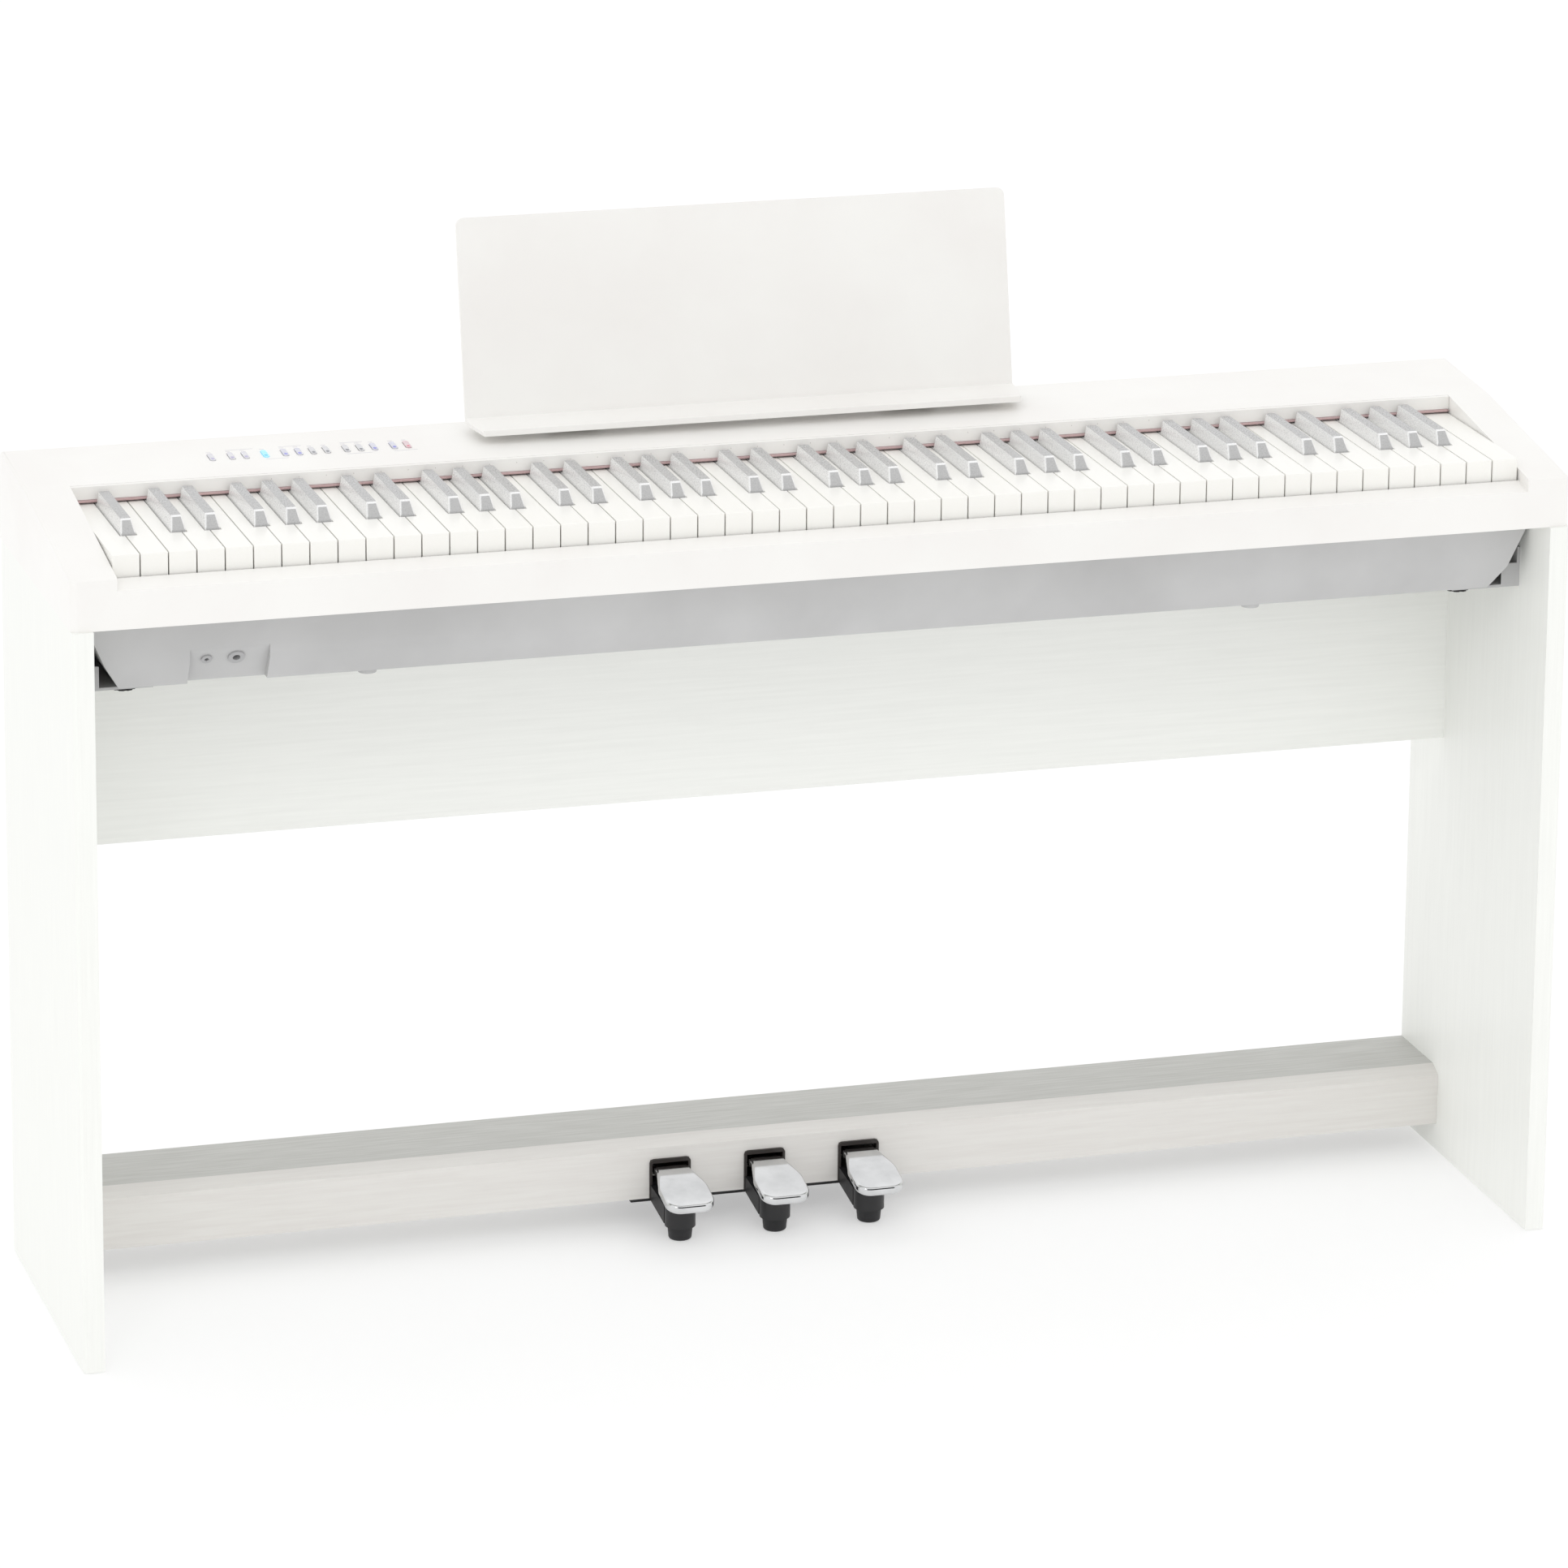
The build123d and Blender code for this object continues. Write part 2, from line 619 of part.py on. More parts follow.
def rear_sockets():
    """From the bass side: power inlet, square data port, flat data port and pedal socket."""
    power, square, flat, pedal = [socket_shell(*s) for s in SOCKETS]
    drill = Pos(SOCKETS[0][0], CHASSIS_BACK - 5, SOCKET_Z) * Rot(90, 0, 0)
    power -= drill * Cylinder(3.0, 10.2)
    x = SOCKETS[1][0]
    square -= block(x - 4.2, x + 4.2, CHASSIS_BACK - 9, CHASSIS_BACK + 1, SOCKET_Z - 4, SOCKET_Z + 4)
    x = SOCKETS[2][0]
    flat -= block(x - 6.2, x + 6.2, CHASSIS_BACK - 9, CHASSIS_BACK + 1, SOCKET_Z - 2.4, SOCKET_Z + 2.4)
    drill = Pos(SOCKETS[3][0], CHASSIS_BACK - 8, SOCKET_Z) * Rot(90, 0, 0)
    pedal -= drill * Cylinder(3.3, 16.2)
    return [power, square, flat, pedal]


def speaker(x, y):
    """A loudspeaker facing down: flange, basket and magnet."""
    low = CHASSIS_BOTTOM + WALL
    flange = rod_z(50.0, x, y, low, low + 3)
    basket = Pos(x, y, low + 13) * Cone(44.0, 26.0, 20.2)
    magnet = rod_z(30.0, x, y, low + 23, low + 36)
    hollow = Pos(x, y, low + 8) * Cone(40.0, 14.0, 18.0)
    return flange + basket + magnet - hollow


def rubber_foot(x, y):
    """A foot under the chassis, for use on a table."""
    return Pos(x, y, CHASSIS_BOTTOM - 2.5) * Cone(7.5, 9.0, 5.0)


def case_screw(x, y):
    head = rod_z(SCREW_HEAD_R, x, y, *SCREW_HEAD_Z)
    return head + rod_z(SCREW_R, x, y, SCREW_HEAD_Z[1] - 1, SCREW_TIP_Z)


# ---------------------------------------------------------------- music rest
def rest_frame():
    """A frame at the foot of the plate: X along it, Z up its lean."""
    return Pos(REST_X, REST_FOOT[0], REST_FOOT[1]) * Rot(-REST_LEAN, 0, 0)


def rest_tab(side, grow, extra):
    """A tab below the plate, grown all round to make its slot."""
    height = REST_TAB_DEEP + extra + 2
    middle = Pos(side * REST_TAB_X, REST_T / 2, -height / 2 + 2)
    return rest_frame() * middle * Box(REST_TAB_W + 2 * grow, REST_T + 2 * grow, height)


def music_rest():
    half = REST_W / 2
    rise = REST_RISE / math.cos(math.radians(REST_LEAN))
    plate = Box(REST_W, REST_T, rise, align=(Align.CENTER, Align.MIN, Align.MIN))
    corners = plate.edges().filter_by(Axis.Y).group_by(Axis.Z)[-1]
    plate = rest_frame() * fillet(corners, REST_CORNER_R)
    y, z = REST_FOOT
    plan = [
        (-half, y + 3),
        (-half, y - REST_LEDGE * REST_LEDGE_STRAIGHT),
        (-half + REST_LEDGE_IN, y - REST_LEDGE),
        (half - REST_LEDGE_IN, y - REST_LEDGE),
        (half, y - REST_LEDGE * REST_LEDGE_STRAIGHT),
        (half, y + 3),
    ]
    plan = [(px + REST_X, py) for px, py in plan]
    side = [
        (y + 3, z + 1.5),
        (y, z + 1.5),
        (y - REST_LEDGE + 2, z - 1.5),
        (y - REST_LEDGE + 2, z + 0.5),
        (y - REST_LEDGE, z + 0.5),
        (y - REST_LEDGE, z - 4.5),
        (y + 3, z - 1.7),
    ]
    ledge = prism_z(plan, z - 10, z + 10) & prism_x(side, -HALF, HALF)
    body = plate + ledge
    for end in (-1, 1):
        body += rest_tab(end, 0, 0)
    return body


# ---------------------------------------------------------------- stand
def left_panel():
    panel = block(-HALF, -PANEL_IN, 0, PANEL_DEPTH, GLIDE_H, PANEL_TOP)
    outer = panel.edges().filter_by(Axis.Z).group_by(Axis.X)[0]
    panel = fillet(outer, PANEL_EDGE_R)
    for y in glide_rows():
        panel -= rod_z(GLIDE_SPIKE_R + 0.05, -HALF + PANEL_T / 2, y, 0, 12)
    for y, z in cam_places():
        panel -= rod_x(BOLT_HOLE_R, -PANEL_IN - 10, -PANEL_IN + 1, y, z)
    return panel


def glide_rows():
    """Y of the front and the back glides."""
    return (GLIDE_INSET, PANEL_DEPTH - GLIDE_INSET)


def glide(x, y):
    """Nailed-in plastic glide."""
    return rod_z(GLIDE_R, x, y, 0, GLIDE_H) + rod_z(GLIDE_SPIKE_R, x, y, GLIDE_H / 2, 11)


def glides():
    x = HALF - PANEL_T / 2
    return [glide(side * x, y) for side in (-1, 1) for y in glide_rows()]


def cam_places():
    """(y, z) of the connecting bolts at each end: two in the back board, one in the beam."""
    board_mid = BOARD_Y + BOARD_T / 2
    places = [(board_mid, z) for z in BOARD_BOLT_Z]
    return places + [(BEAM_BOLT_Y, BEAM_TOP - BEAM_WALL / 2)]


def back_board():
    board = block(-PANEL_IN, PANEL_IN, BOARD_Y, BOARD_Y + BOARD_T, *BOARD_Z)
    for y, z in cam_places()[:2]:
        for side in (-1, 1):
            ends = sorted((side * (PANEL_IN - BOLT_REACH), side * (PANEL_IN + 1)))
            board -= rod_x(BOLT_HOLE_R, *ends, y, z)
            board -= cam_disc(side, y, z, 0.0)
    return board


def cam_disc(side, y, z, shrink):
    """The turning disc that grips a connecting bolt, set into the back of the board."""
    deep = BOARD_T - 3.0
    face = BOARD_Y + BOARD_T
    centre = Pos(side * (PANEL_IN - BOLT_REACH), face - deep / 2, z) * Rot(90, 0, 0)
    return centre * Cylinder(DISC_R - shrink, deep)


def cam_fasteners():
    """Connecting bolts and their discs, as separate solids."""
    made = []
    for y, z in cam_places():
        reach = BOLT_REACH - DISC_R - 0.5 if z > BEAM_TOP else 12.0
        for side in (-1, 1):
            ends = sorted((side * (PANEL_IN - reach), side * (PANEL_IN + 9.9)))
            made.append(rod_x(BOLT_R, *ends, y, z))
            if z > BEAM_TOP:
                made.append(cam_disc(side, y, z, 0.05))
    return made


def hand_screw_places():
    return [(side * HAND_SCREW_X, y) for side in (-1, 1) for y in HAND_SCREW_Y]


def support_bracket():
    """Steel angle on a side panel; the piano's end rests on it."""
    low = CHASSIS_BOTTOM - BRACKET_DROP
    front = BRACKET_Y[0]
    leg = block(-PANEL_IN, -PANEL_IN + BRACKET_DROP, *BRACKET_Y, low, BRACKET_LEG_TOP)
    shelf = block(-PANEL_IN, -HAND_SCREW_X + 18, *BRACKET_Y, low, CHASSIS_BOTTOM)
    gusset_plan = [(-PANEL_IN, front), (-PANEL_IN + 17, front), (-PANEL_IN, front + 3)]
    body = leg + shelf + prism_z(gusset_plan, low, BRACKET_LEG_TOP - 14)
    for x, y in hand_screw_places()[:2]:
        body -= rod_z(HAND_SCREW_R + 0.1, x, y, low - 1, CHASSIS_BOTTOM + 1)
    return body


def hand_screw(x, y):
    """Thumb screw that holds the piano down on its bracket."""
    top = CHASSIS_BOTTOM - BRACKET_DROP
    knob = rod_z(KNOB_R, x, y, top - KNOB_H, top)
    ring = KNOB_R + 0.6
    for i in range(KNOB_FLUTES):
        angle = 2 * math.pi * i / KNOB_FLUTES
        knob -= rod_z(1.8, x + ring * math.cos(angle), y + ring * math.sin(angle), top - 10, top + 1)
    return knob + rod_z(HAND_SCREW_R, x, y, top - 1, CHASSIS_BOTTOM + 12)


# ---------------------------------------------------------------- pedal unit
def beam_profile(inset):
    return [
        (BEAM_FRONT + inset, BEAM_BOTTOM),
        (BEAM_FRONT + inset, BEAM_TOP - BEAM_CHAMFER_Z - inset * 0.6),
        (BEAM_FRONT + BEAM_CHAMFER_Y, BEAM_TOP - inset),
        (BEAM_BACK - inset, BEAM_TOP - inset),
        (BEAM_BACK - inset, BEAM_BOTTOM),
    ]


def pedal_beam():
    """The cross beam: a deep channel, open below, with a window for each pedal."""
    body = prism_x(beam_profile(0), -PANEL_IN, PANEL_IN)
    body -= prism_x(beam_profile(BEAM_WALL), -PANEL_IN + BEAM_END_T, PANEL_IN - BEAM_END_T)
    margin = BEZEL_SLEEVE - 0.2
    half = BEZEL_W / 2 - margin
    head = BEZEL_TOP - margin
    for x in PEDAL_X:
        body -= block(x - half, x + half, BEAM_FRONT - 1, BEAM_FRONT + 12, BEAM_BOTTOM - 1, head)
    y, z = cam_places()[2]
    for side in (-1, 1):
        ends = sorted((side * (PANEL_IN - 12.5), side * (PANEL_IN + 1)))
        body -= rod_x(BOLT_HOLE_R, *ends, y, z)
    return body


def beam_base_plate():
    """Steel plate that closes the beam below the pedals."""
    low = BEAM_BOTTOM - BASE_PLATE_T
    return block(-BASE_PLATE_HALF, BASE_PLATE_HALF, BEAM_FRONT, BEAM_BACK, low, BEAM_BOTTOM)


def pedal_bezel(x):
    """Black frame round a pedal's window, with a sleeve through the beam's front."""
    half = BEZEL_W / 2
    face = block(x - half, x + half, BEAM_FRONT - BEZEL_T, BEAM_FRONT, BEAM_BOTTOM, BEZEL_TOP)
    corners = face.edges().filter_by(Axis.Y).group_by(Axis.Z)[-1]
    face = fillet(corners, 4.0)
    sleeve_half = half - BEZEL_SLEEVE
    sleeve = block(x - sleeve_half, x + sleeve_half, BEAM_FRONT - 1, BEAM_FRONT + BEAM_WALL,
                   BEAM_BOTTOM, BEZEL_TOP - BEZEL_SLEEVE)
    window = half - BEZEL_LIP
    hole = block(x - window, x + window, BEAM_FRONT - 5, BEAM_FRONT + 15,
                 BEAM_BOTTOM - 1, BEZEL_TOP - BEZEL_HEAD)
    return face + sleeve - hole


def paddle_plan(x):
    """Plan of the chrome paddle: narrow at the beam, then wider, with round front corners."""
    left = [
        (x - PADDLE_NECK, PADDLE_ROOT_Y),
        (x - PADDLE_NECK, PADDLE_WAIST_Y),
        (x - PADDLE_WIDE, PADDLE_WIDE_Y),
        (x - PADDLE_WIDE, PEDAL_TIP_Y),
    ]
    right = [(2 * x - px, py) for px, py in reversed(left)]
    plan = make_face(Polyline(*left, *right, close=True))
    rows = plan.vertices().group_by(Axis.Y)
    plan = fillet(rows[0], PADDLE_CORNER_R)
    bends = []
    for bend_y in (PADDLE_WAIST_Y, PADDLE_WIDE_Y):
        bends += [v for v in plan.vertices() if abs(v.Y - bend_y) < 0.1]
    return fillet(bends, PADDLE_FLARE_R)


def paddle_side():
    """Side outline of the paddle: a shallow crown that droops to the tip."""
    back = PADDLE_ROOT_Y
    tip = PEDAL_TIP_Y - 1
    top = ThreePointArc((back, 57.0), (175.0, 52.6), (tip, 43.5))
    front = Line((tip, 43.5), (tip, 35.0))
    under = ThreePointArc((tip, 35.0), (175.0, 44.0), (back, 48.4))
    close = Line((back, 48.4), (back, 57.0))
    return make_face(Curve() + [top, front, under, close])


def pedal(x):
    """A pedal: the chrome paddle with its lever behind, drilled for the pivot pin."""
    plan = extrude(paddle_plan(x), amount=100)
    crown = Plane.YZ.offset(x - 40) * extrude(paddle_side(), amount=80)
    paddle = plan & crown
    rims = [e for e in paddle.edges() if e.center().Y < BEAM_FRONT + 4]
    paddle = fillet(rims, PADDLE_RIM_R)
    ends = (x - LEVER_HALF, x + LEVER_HALF)
    lever = block(*ends, BEAM_FRONT + 4, PEDAL_PIVOT_Y + 8, *LEVER_Z)
    eye = rod_x(LEVER_EYE_R, *ends, PEDAL_PIVOT_Y, PEDAL_PIVOT_Z)
    bore = rod_x(PEDAL_PIN_R + PIVOT_CLEAR, x - 12, x + 12, PEDAL_PIVOT_Y, PEDAL_PIVOT_Z)
    return paddle + lever + eye - bore


def arm_section(x, y, width, low, high):
    """A rectangle across the bracket's arm."""
    return Plane.XZ.offset(-y) * Pos(x, (low + high) / 2) * Rectangle(width, high - low)


def pedal_bracket(x):
    """Black support under a pedal: bed, pivot cheeks, and an arm out to the foot column."""
    bed_top = BEAM_BOTTOM + BRACKET_BED_T
    bed = block(x - CHEEK_HALF, x + CHEEK_HALF, ARM_FRONT_Y - 6, CHEEK_Y[1], BEAM_BOTTOM, bed_top)
    cheeks = []
    for side in (-1, 1):
        ends = sorted((x + side * (LEVER_HALF + 0.6), x + side * CHEEK_HALF))
        cheeks.append(block(*ends, *CHEEK_Y, bed_top - 1, CHEEK_TOP))
    arm = loft([arm_section(x, ARM_FRONT_Y, *ARM_NEAR), arm_section(x, FOOT_Y + 4, *ARM_FAR)])
    column = rod_z(COLUMN_R, x, FOOT_Y, *COLUMN_Z)
    body = bed + arm + column
    for cheek in cheeks:
        body += cheek
    body -= rod_x(PEDAL_PIN_R, x - 20, x + 20, PEDAL_PIVOT_Y, PEDAL_PIVOT_Z)
    return body - rod_z(STUD_R + STUD_CLEAR, x, FOOT_Y, 11, 25)


def pedal_pin(x):
    return rod_x(PEDAL_PIN_R, x - CHEEK_HALF, x + CHEEK_HALF, PEDAL_PIVOT_Y, PEDAL_PIVOT_Z)


def pedal_foot(x):
    """Screw-in foot under the column; it stands on the floor."""
    pad = Pos(x, FOOT_Y, 6) * Cone(10.0, 11.2, 12)
    pad = fillet(pad.edges().group_by(Axis.Z)[0], 2.2)
    return pad + rod_z(STUD_R, x, FOOT_Y, 11, 24)


def pedal_spring(x):
    """Return spring between the bracket's bed and the lever."""
    low = BEAM_BOTTOM + BRACKET_BED_T + SPRING_WIRE_R
    height = LEVER_Z[0] - SPRING_WIRE_R - low
    path = Helix(pitch=height / SPRING_TURNS, height=height, radius=SPRING_R)
    section = Plane(origin=path @ 0, z_dir=path % 0) * Circle(SPRING_WIRE_R)
    return Pos(x, SPRING_Y, low) * sweep(section, path=path)


# ---------------------------------------------------------------- all nodes
def piano_nodes():
    nodes = {
        "upper_case": [upper_case()],
        "lower_case": [lower_case()],
        "fallboard_strip": [fallboard_strip()],
        "felt_strip": [felt_strip()],
        "key_frame": [key_frame()],
        "key_pivot_rod": [rod_x(PIVOT_R, -PIVOT_BED_HALF, PIVOT_BED_HALF, PIVOT_Y, PIVOT_Z)],
        "contact_board": [contact_board()],
        "main_board": [main_board()],
        "panel_board": [panel_board()],
        "speakers": [speaker(*place) for place in SPEAKER_PLACES],
        "phones_jack_large": [phone_jack(jack_frame(JACK_LARGE_X), *JACK_LARGE)],
        "phones_jack_small": [phone_jack(jack_frame(JACK_SMALL_X), *JACK_SMALL)],
        "rear_sockets": rear_sockets(),
        "rubber_feet": [rubber_foot(x, y) for y in FOOT_ROWS_Y for x in (-FOOT_X, FOOT_X)],
        "case_screws": [case_screw(*place) for place in screw_places()],
        "music_rest": [music_rest()],
    }
    nodes.update(key_groups())
    for number, x in enumerate(button_places(), start=1):
        nodes[f"button_{number:02d}"] = [button(x)]
    return nodes


def stand_nodes():
    left = left_panel()
    nodes = {
        "left_panel": [left],
        "right_panel": [mirror(left, about=Plane.YZ)],
        "back_board": [back_board()],
        "support_brackets": both_sides(support_bracket),
        "hand_screws": [hand_screw(*place) for place in hand_screw_places()],
        "cam_fasteners": cam_fasteners(),
        "glides": glides(),
        "pedal_beam": [pedal_beam()],
        "beam_base_plate": [beam_base_plate()],
        "pedal_bezels": [pedal_bezel(x) for x in PEDAL_X],
        "pedal_brackets": [pedal_bracket(x) for x in PEDAL_X],
        "pedal_pins": [pedal_pin(x) for x in PEDAL_X],
        "pedal_feet": [pedal_foot(x) for x in PEDAL_X],
    }
    for name, x in zip(("left", "middle", "right"), PEDAL_X):
        nodes[f"pedal_{name}"] = [pedal(x)]
        nodes[f"pedal_spring_{name}"] = [pedal_spring(x)]
    return nodes


os.makedirs("parts", exist_ok=True)
for node, solids in {**piano_nodes(), **stand_nodes()}.items():
    save(node, solids)
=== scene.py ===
"""Looks of the digital piano on its stand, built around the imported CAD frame. Units are metres."""
import json
import math

import bmesh
import bpy
from mathutils import Matrix, Vector, noise


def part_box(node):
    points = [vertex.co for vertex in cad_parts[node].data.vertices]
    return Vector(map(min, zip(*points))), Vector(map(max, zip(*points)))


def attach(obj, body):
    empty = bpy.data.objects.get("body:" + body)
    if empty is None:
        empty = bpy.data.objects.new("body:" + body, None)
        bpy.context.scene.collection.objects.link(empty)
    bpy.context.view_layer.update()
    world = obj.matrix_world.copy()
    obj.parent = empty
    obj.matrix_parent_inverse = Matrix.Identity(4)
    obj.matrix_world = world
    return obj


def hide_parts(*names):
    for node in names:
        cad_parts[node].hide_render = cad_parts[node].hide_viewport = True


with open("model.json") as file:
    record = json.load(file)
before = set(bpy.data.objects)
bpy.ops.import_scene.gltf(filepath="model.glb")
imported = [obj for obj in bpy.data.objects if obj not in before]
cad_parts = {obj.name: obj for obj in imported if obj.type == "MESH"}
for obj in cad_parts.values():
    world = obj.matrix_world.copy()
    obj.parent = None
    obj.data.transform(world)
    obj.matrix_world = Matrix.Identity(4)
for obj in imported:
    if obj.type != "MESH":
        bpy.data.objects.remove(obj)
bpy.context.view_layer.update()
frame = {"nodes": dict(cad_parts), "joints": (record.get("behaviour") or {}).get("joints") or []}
NODES = frame["nodes"]
STATIC = "piano_and_stand"
WHITES = ["keys_" + letter for letter in "abcdefg"]
SHARPS = [f"keys_{letter}_sharp" for letter in "acdfg"]
BUTTONS = [f"button_{number:02d}" for number in range(1, 14)]
PEDALS = ["pedal_left", "pedal_middle", "pedal_right"]

# ---------------------------------------------------------------- camera
CAMERA_PLACE = Vector((-1.7809, -5.9083, 2.3190))
CAMERA_YAW = 0.292
CAMERA_PITCH = 0.262
CAMERA_ROLL = 0.009
CAMERA_LENS = 172.9
CAMERA_SHIFT_Y = -0.18
SENSOR_WIDTH = 36.0


def make_camera():
    """The camera stands in front, to the left and above, and looks a little down."""
    data = bpy.data.cameras.new("camera")
    data.lens = CAMERA_LENS
    data.sensor_width = SENSOR_WIDTH
    data.shift_y = CAMERA_SHIFT_Y
    data.clip_end = 200.0
    camera = bpy.data.objects.new("camera", data)
    bpy.context.scene.collection.objects.link(camera)
    flat = math.cos(CAMERA_PITCH)
    forward = Vector((math.sin(CAMERA_YAW) * flat, math.cos(CAMERA_YAW) * flat, -math.sin(CAMERA_PITCH)))
    right = Vector((math.cos(CAMERA_YAW), -math.sin(CAMERA_YAW), 0.0))
    up = right.cross(forward)
    turn = Matrix.Rotation(-CAMERA_ROLL, 3, forward)
    right, up = turn @ right, turn @ up
    columns = Matrix((right, up, -forward)).transposed()
    camera.matrix_world = Matrix.Translation(CAMERA_PLACE) @ columns.to_4x4()
    bpy.context.scene.camera = camera


# ---------------------------------------------------------------- node helpers
FOIL_ROUGHNESS = 0.42


def srgb(red, green, blue):
    """A linear colour from 0 to 255 display values."""
    def linear(value):
        share = value / 255
        return share / 12.92 if share <= 0.04045 else ((share + 0.055) / 1.055) ** 2.4
    return (linear(red), linear(green), linear(blue), 1.0)


class Surface:
    """A Principled material with helpers that wire procedural detail into it."""

    def __init__(self, name, roughness=0.5, metallic=0.0):
        self.material = bpy.data.materials.new(name)
        self.material.use_nodes = True
        self.tree = self.material.node_tree
        self.shader = self.tree.nodes["Principled BSDF"]
        self.shader.inputs["Roughness"].default_value = roughness
        self.shader.inputs["Metallic"].default_value = metallic
        self.place = self.tree.nodes.new("ShaderNodeTexCoord").outputs["Object"]
        self.bumped = None

    def set(self, **values):
        for name, value in values.items():
            self.shader.inputs[name.replace("_", " ")].default_value = value
        return self

    def node(self, kind, **inputs):
        made = self.tree.nodes.new(kind)
        for name, value in inputs.items():
            socket = made.inputs[name]
            if isinstance(value, bpy.types.NodeSocket):
                self.tree.links.new(value, socket)
            else:
                socket.default_value = value
        return made

    def noise(self, scale, stretch=(1.0, 1.0, 1.0), detail=3.0):
        """Noise at so many cells a metre, stretched by a scale along each axis."""
        mapping = self.node("ShaderNodeMapping", Vector=self.place, Scale=stretch)
        made = self.node("ShaderNodeTexNoise", Vector=mapping.outputs["Vector"], Scale=scale, Detail=detail)
        return made.outputs["Fac"]

    def ramp(self, factor, low, high, start=0.35, end=0.65):
        """Blends two colours over a stretch of a factor."""
        made = self.node("ShaderNodeValToRGB", Fac=factor)
        first, last = made.color_ramp.elements
        first.position, first.color = start, low
        last.position, last.color = end, high
        return made.outputs["Color"]

    def colour(self, source):
        self.tree.links.new(source, self.shader.inputs["Base Color"])
        return self

    def by_facing(self, axis, start, end, first, second):
        """Blends from the first colour to the second as a face turns towards an axis, either way."""
        normal = self.node("ShaderNodeNewGeometry").outputs["True Normal"]
        part = self.node("ShaderNodeSeparateXYZ", Vector=normal).outputs[axis]
        size = self.node("ShaderNodeMath")
        size.operation = "ABSOLUTE"
        self.tree.links.new(part, size.inputs[0])
        share = self.node("ShaderNodeMapRange", Value=size.outputs[0])
        share.inputs["From Min"].default_value = start
        share.inputs["From Max"].default_value = end
        blend = self.node("ShaderNodeMix")
        blend.data_type = "RGBA"
        colours = [socket for socket in blend.inputs if socket.type == "RGBA"]
        self.tree.links.new(share.outputs["Result"], blend.inputs[0])
        self.tree.links.new(first, colours[0])
        self.tree.links.new(second, colours[1])
        return [socket for socket in blend.outputs if socket.type == "RGBA"][0]

    def rough(self, factor, low, high):
        made = self.node("ShaderNodeMapRange", Value=factor)
        made.inputs["To Min"].default_value = low
        made.inputs["To Max"].default_value = high
        self.tree.links.new(made.outputs["Result"], self.shader.inputs["Roughness"])
        return self

    def bump(self, height, strength, distance):
        inputs = {"Height": height, "Strength": strength, "Distance": distance}
        if self.bumped:
            inputs["Normal"] = self.bumped
        made = self.node("ShaderNodeBump", **inputs)
        self.bumped = made.outputs["Normal"]
        self.tree.links.new(self.bumped, self.shader.inputs["Normal"])
        return self


def moulded(name, dark, light, roughness, grain=0.12):
    """Moulded plastic: a fine spark grain, with broad faint changes of tone and polish."""
    made = Surface(name, roughness)
    tone = made.noise(9.0, detail=4.0)
    made.colour(made.ramp(tone, dark, light))
    made.rough(made.noise(60.0), roughness - 0.06, roughness + 0.06)
    made.bump(made.noise(1700.0, detail=2.0), grain, 0.0002)
    return made


def foil(name, dark, light, along):
    """Painted foil on board: a very faint brushed grain that runs along one axis."""
    made = Surface(name, FOIL_ROUGHNESS)
    stretch = [1.0, 1.0, 1.0]
    stretch["xyz".index(along)] = 0.03
    streaks = made.noise(420.0, stretch, 4.0)
    made.colour(made.ramp(streaks, dark, light, 0.3, 0.7))
    made.rough(streaks, FOIL_ROUGHNESS - 0.04, FOIL_ROUGHNESS + 0.06)
    made.bump(streaks, 0.035, 0.0002)
    return made


# ---------------------------------------------------------------- materials
def case_material():
    return moulded("white_moulding", srgb(244, 242, 239), srgb(247, 246, 243), 0.34)


def chassis_material():
    return moulded("grey_moulding", srgb(188, 188, 188), srgb(198, 198, 198), 0.55, 0.25)


def white_key_material():
    """Ivory-feel key: satin, with faint fibres across its top."""
    made = Surface("ivory_key", 0.28)
    fibres = made.noise(620.0, (1.0, 0.06, 1.0), 4.0)
    made.colour(made.ramp(fibres, srgb(251, 250, 245), srgb(252, 251, 247), 0.3, 0.7))
    made.rough(fibres, 0.27, 0.31)
    made.bump(fibres, 0.008, 0.0002)
    return made.set(Coat_Weight=0.25, Coat_Roughness=0.12)


def sharp_material():
    """Ebony-feel sharp, in the washed grey of this piano: stippled, with separate greys by facing; the
    paler flanks are painted sheen, and a near-white band on the rounded front edges is a painted highlight.
    """
    made = Surface("ebony_feel", 0.3)
    stipple = made.noise(1500.0, (1.0, 0.4, 1.0), 3.0)
    crown = made.ramp(stipple, srgb(166, 166, 166), srgb(184, 184, 184), 0.3, 0.65)
    # painted sheen: the sideways flanks take a paler grey than the crown, standing for light on them
    flank_painted_sheen = made.ramp(stipple, srgb(226, 226, 226), srgb(242, 242, 241), 0.3, 0.65)
    front = made.ramp(stipple, srgb(178, 178, 178), srgb(192, 192, 192), 0.3, 0.65)
    # painted highlight: a near-white grey for the rounded edges at the front, between crown, flanks and
    # front
    edge_painted_highlight = made.ramp(stipple, srgb(238, 238, 238), srgb(250, 250, 250), 0.3, 0.65)
    faces = made.by_facing("X", 0.75, 0.95, crown, flank_painted_sheen)
    # faces turned part way towards Y, the rounded front edges, take the painted highlight colour
    with_painted_highlight = made.by_facing("Y", 0.08, 0.14, faces, edge_painted_highlight)
    made.colour(made.by_facing("Y", 0.68, 0.73, with_painted_highlight, front))
    made.rough(stipple, 0.2, 0.36)
    made.bump(stipple, 0.12, 0.0002)
    return made.set(Coat_Weight=0.2, Coat_Roughness=0.12)


def felt_material():
    made = Surface("red_felt_pile", 0.95)
    pile = made.noise(2600.0, detail=5.0)
    made.colour(made.ramp(pile, srgb(186, 150, 150), srgb(214, 186, 186)))
    made.bump(pile, 0.7, 0.0006)
    return made.set(Sheen_Weight=0.5, Sheen_Roughness=0.6)


def panel_material(name, along):
    return foil(name, srgb(244, 245, 241), srgb(248, 249, 245), along)


